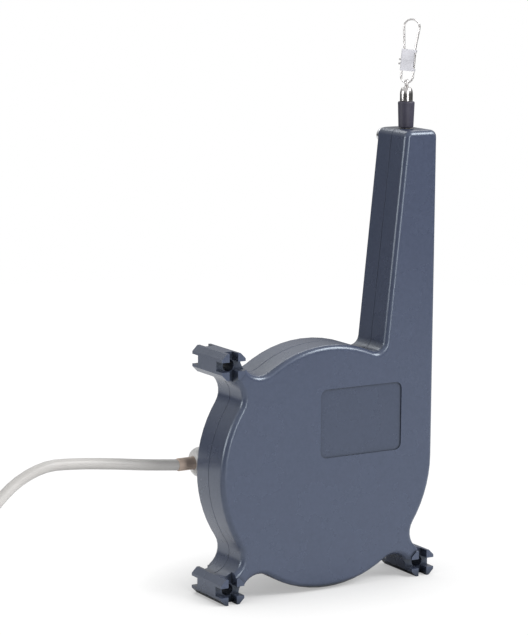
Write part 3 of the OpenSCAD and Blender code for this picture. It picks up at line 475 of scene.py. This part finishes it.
# ---- Swivel ----
# A turned, nickel-plated barrel on the wire end holds the button head of a bent eye, which
# turns in it freely and keeps the wire from twisting.
nickel = metal("nickel", (0.5, 0.485, 0.48), (0.7, 0.685, 0.68), 0.2, 600, 0.03)
eased_edges(node["swivel_barrel"], 0.0001, nickel)
eased_edges(node["swivel_eye"], 0.0, nickel)

# ---- Snap hook ----
# One springy wire, bent into the lower loop, the long back, the bow and the latch end. A folded
# sheet clip holds both ends of the wire.
eased_edges(node["snap_wire"], 0.0, nickel, 60)
stamped = metal("stamped", (0.54, 0.54, 0.58), (0.66, 0.66, 0.7), 0.42, 900, 0.05)
eased_edges(node["snap_clip"], 0.00008, stamped)

# ---- Cable gland ----
# Light grey polyamide: a body screwed into the sensor housing and a domed nut that presses a
# rubber seal on the cable's sleeve.
gland_grey = moulding("gland_grey", (0.74, 0.74, 0.73), (0.86, 0.86, 0.85), 0.4, 0.15, 200)
for name in ("gland_body", "gland_nut"):
    eased_edges(node[name], 0.00025, gland_grey)
seal_black = moulding("seal_black", (0.02, 0.02, 0.02), (0.035, 0.035, 0.036), 0.6, 0.3)
for name in ("gland_seal", "cover_seal"):
    eased_edges(node[name], 0.0, seal_black)

# ---- Rotary sensor ----
# A round housing and cover of dark matt plastic close in the circuit board with its magnetic
# sensor chip, which reads the magnet on the end of the drum shaft.
sensor_plastic = moulding("sensor_plastic", (0.07, 0.078, 0.1), (0.09, 0.1, 0.13), 0.5, 0.35)
for name in ("sensor_housing", "sensor_cover"):
    eased_edges(node[name], 0.0003, sensor_plastic)
board, main, add, link = shader("board", (0.02, 0.16, 0.06), 0.3)
place = add("ShaderNodeTexCoord").outputs["Object"]
tracks = add("ShaderNodeTexBrick", {"Vector": place, "Scale": 260, "Mortar Size": 0.12})
link(blended(add, tracks.outputs["Fac"], (0.02, 0.2, 0.08), (0.012, 0.12, 0.045)).outputs["Color"],
     main.inputs["Base Color"])
eased_edges(node["sensor_board"], 0.0, board)
chip = moulding("chip", (0.015, 0.015, 0.015), (0.028, 0.028, 0.03), 0.45)
eased_edges(node["hall_sensor"], 0.0001, chip)
magnet = metal("magnet", (0.4, 0.4, 0.42), (0.6, 0.6, 0.62), 0.25)
eased_edges(node["sensor_magnet"], 0.0001, magnet)
eased_edges(node["magnet_holder"], 0.0001, brass)

# ---- Drum and its bearings ----
# The wire winds on a natural white acetal drum, which turns on a ground steel shaft in two
# shielded ball bearings against a blued spiral spring.
acetal = moulding("acetal", (0.66, 0.64, 0.57), (0.76, 0.74, 0.68), 0.35, 0.1)
eased_edges(node["cable_drum"], 0.0002, acetal)
ground = metal("ground", (0.45, 0.46, 0.48), (0.66, 0.67, 0.7), 0.2)
for name in ("front_bearing", "rear_bearing", "drum_shaft"):
    eased_edges(node[name], 0.0001, ground)
blued = metal("blued", (0.1, 0.12, 0.17), (0.22, 0.24, 0.3), 0.3)
for name in ("power_spring", "shaft_circlip"):
    eased_edges(node[name], 0.0, blued)
eased_edges(node["wire_winding"], 0.0, strand)

# ---- Floor and light ----
# A white table in a dim room, under a soft key lamp on the right, a tall one in front, a long
# one at the back and a weak one on the left. Camera, glossy and transmission rays see a white
# glow on the table: the camera all but a painted contact shadow round the case, where part of
# the lit table shows through; the others a painted pool of light that fades out.
def seen_share(add, camera_share, mirror_share):
    """One share for camera rays, and another for glossy and transmission rays."""
    kind = add("ShaderNodeLightPath")
    share = 0.0
    for word, own in (("Is Camera Ray", camera_share), ("Is Glossy Ray", mirror_share),
                      ("Is Transmission Ray", mirror_share)):
        share = add("ShaderNodeMath", {0: kind.outputs[word], 1: own, 2: share},
                    operation="MULTIPLY_ADD", use_clamp=True).outputs[0]
    return share


table_r = 0.7
floor_white, main, add, link = shader("floor_white", (0.7, 0.7, 0.7), 0.9)
main.inputs["Specular IOR Level"].default_value = 0.0
place = add("ShaderNodeTexCoord").outputs["Object"]
shadow_reach = 0.045
# Painted contact shadow: ambient occlusion near the case lets less glow and more of the lit table
# through to the camera
shade_occlusion = add("ShaderNodeAmbientOcclusion", {"Distance": shadow_reach}, samples=12)
clear = add("ShaderNodeMapRange", {"Value": shade_occlusion.outputs["AO"], "From Min": 0.35, "From Max": 0.97,
                                   "To Min": 0.35, "To Max": 1.0})
# Painted pool of light: glossy and transmission rays see glow that fades with distance from a
# point left of and behind the case, darkened by the same painted contact shadow
painted_pool_middle = (-0.12, 0.08, 0)
from_pool = add("ShaderNodeVectorMath", {0: place, 1: painted_pool_middle}, operation="DISTANCE")
painted_pool = add("ShaderNodeMapRange", {"Value": from_pool.outputs["Value"], "From Min": 0.15,
                                  "From Max": 0.75, "To Min": 1.0, "To Max": 0.0})
# Left of here the camera sees no painted contact shadow, so the coil, which lies there, has none
aside = add("ShaderNodeMapRange", {"Value": add("ShaderNodeSeparateXYZ", {0: place}).outputs["X"],
                                   "From Min": -0.1, "From Max": -0.075, "To Min": 1.0,
                                   "To Max": 0.0})
clear = add("ShaderNodeMath", {0: clear.outputs["Result"], 1: aside.outputs["Result"]},
            operation="MAXIMUM")
pool_outside_painted_shadow = add("ShaderNodeMapRange", {"Value": shade_occlusion.outputs["AO"], "From Min": 0.5, "From Max": 0.95})
painted_reflection_share = add("ShaderNodeMath", {0: painted_pool.outputs["Result"], 1: pool_outside_painted_shadow.outputs["Result"]},
               operation="MULTIPLY")
glow = add("ShaderNodeEmission", {"Strength": 1.05})
both = add("ShaderNodeMixShader", {0: seen_share(add, clear.outputs[0], painted_reflection_share.outputs[0]),
                                   1: main.outputs["BSDF"], 2: glow.outputs["Emission"]})
link(both.outputs["Shader"], floor_white.node_tree.nodes["Material Output"].inputs["Surface"])
mesh = bpy.data.meshes.new("floor")
build = bmesh.new()
bmesh.ops.create_circle(build, cap_ends=True, segments=96, radius=table_r)
build.to_mesh(mesh)
build.free()
floor = bpy.data.objects.new("floor", mesh)
bpy.context.scene.collection.objects.link(floor)
mesh.materials.append(floor_white)
# The glow is painted light: a white backdrop to the camera and a painted pool in reflections
floor_white.cycles.emission_sampling = "NONE"  # it lights nothing, so it isn't a lamp

# The room behind the table is white to the camera. The part mirrors it as dim at the table's
# height and nearly white above.
world = bpy.data.worlds.new("studio")
bpy.context.scene.world = world
world.cycles.sampling_method = "NONE"
world.use_nodes = True
tree = world.node_tree
add = wiring(tree)
dim = tree.nodes["Background"]
dim.inputs["Color"].default_value = (1, 1, 1, 1)
dim.inputs["Strength"].default_value = 0.06
bright = add("ShaderNodeBackground", {"Color": (1, 1, 1, 1)})
way = add("ShaderNodeSeparateXYZ", {0: add("ShaderNodeTexCoord").outputs["Generated"]})
upward = add("ShaderNodeMapRange", {"Value": way.outputs["Z"], "From Min": 0.0, "From Max": 0.5,
                                    "To Min": 0.0, "To Max": 0.9})
both = add("ShaderNodeMixShader", {0: seen_share(add, 1.0, upward.outputs["Result"]),
                                   1: dim.outputs[0], 2: bright.outputs[0]})
tree.links.new(both.outputs[0], tree.nodes["World Output"].inputs["Surface"])


def softbox(name, place, width, height, power, aim=(0, 0, 0.08)):
    """Soft lamp at place, with its width level and its height turned towards aim."""
    lamp = bpy.data.lights.new(name, "AREA")
    lamp.shape = "RECTANGLE"
    lamp.size = width
    lamp.size_y = height
    lamp.energy = power
    holder = bpy.data.objects.new(name, lamp)
    holder.location = place
    holder.rotation_euler = (Vector(aim) - Vector(place)).to_track_quat("-Z", "Y").to_euler()
    bpy.context.scene.collection.objects.link(holder)


softbox("key", (0.7, -0.7, 0.9), 0.6, 0.6, 14)
softbox("front", (-0.1, -0.95, 0.15), 0.2, 0.9, 5)
softbox("back", (0.25, 0.75, 0.85), 1.1, 0.2, 2.5)
softbox("left", (-1.0, 0.3, 0.3), 0.5, 0.4, 4.2)
bpy.context.scene.view_settings.view_transform = "Standard"
